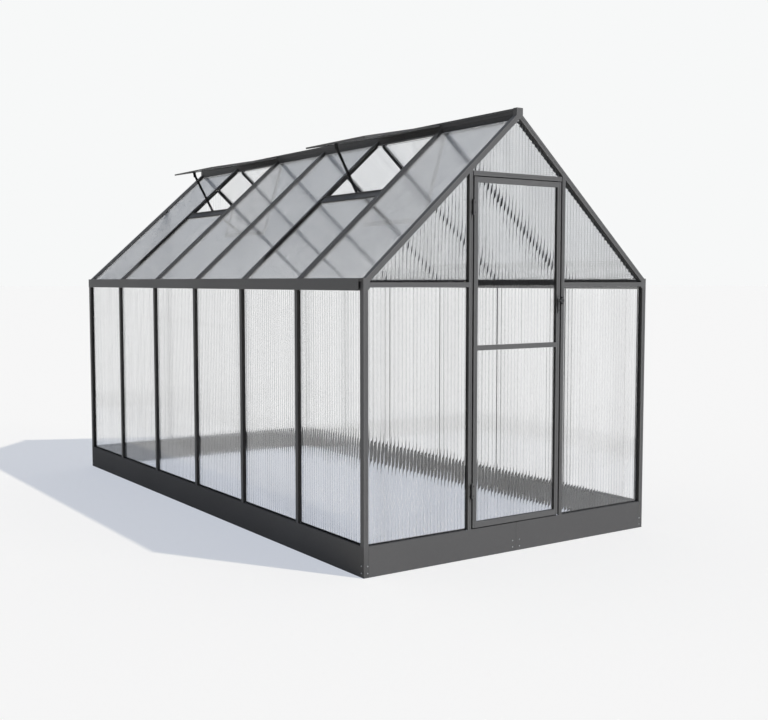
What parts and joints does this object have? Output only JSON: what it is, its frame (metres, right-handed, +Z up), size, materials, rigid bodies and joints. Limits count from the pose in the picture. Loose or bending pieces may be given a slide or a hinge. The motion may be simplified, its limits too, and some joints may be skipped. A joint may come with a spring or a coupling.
{
  "type": "polycarbonate greenhouse",
  "caption": "Free-standing garden greenhouse with clear twin-wall sheets in an aluminium frame on a steel base, a hinged door in one gable and propped roof windows.",
  "frame": {"origin": "on the ground in the middle of the footprint", "axes": "+X to the right seen from outside the door gable, +Y from the door gable to the back gable, +Z up"},
  "size_m": [1.872, 3.6965, 2.22],
  "materials": {
    "frame": "matt powder coat",
    "base": "matt powder coat",
    "fitting": "satin black",
    "sheet": "clear twin-wall sheet"
  },
  "bodies": {
    "house": {"base_front": "base", "base_back": "base", "base_left": "base", "base_right": "base", "base_joiners": "base", "bottom_rails": "frame", "corner_post_front_left": "frame", "corner_post_front_right": "frame", "corner_post_back_left": "frame", "corner_post_back_right": "frame", "eave_brackets": "frame", "gutter_left": "frame", "gutter_right": "frame", "ridge_beam": "frame", "ridge_caps": "frame", "rafter_front_left": "frame", "rafter_front_right": "frame", "rafter_back_left": "frame", "rafter_back_right": "frame", "front_cross_bars": "frame", "back_cross_bars": "frame", "door_post_left": "frame", "door_post_right": "frame", "door_stops": "frame", "back_studs": "frame", "left_wall_bars": "frame", "right_wall_bars": "frame", "left_roof_bars": "frame", "right_roof_bars": "frame", "left_wall_sheets": "sheet", "right_wall_sheets": "sheet", "left_roof_sheets": "sheet", "right_roof_sheets": "sheet", "front_sheets": "sheet", "back_sheets": "sheet", "window_sills": "frame", "window_frames": "frame", "window_sheets": "sheet", "window_stays": "fitting", "post_hinge_leaves": "fitting", "latch_keeper": "fitting"},
    "door": {"door_stiles": "frame", "door_rails": "frame", "door_sheets": "sheet", "door_hinge_leaves": "fitting", "door_latch": "fitting"},
    "handle": {"door_handle": "fitting"}
  },
  "joints": [
    {"name": "door_swing", "type": "hinge", "parent": "house", "child": "door", "pos_m": [-0.297, -1.844, 1], "axis": [0, 0, -1], "range_deg": [0, 160]},
    {"name": "handle_turn", "type": "hinge", "parent": "door", "child": "handle", "pos_m": [0.272, -1.855, 1.267], "axis": [0, 1, 0], "range_deg": [0, 90]}
  ]
}
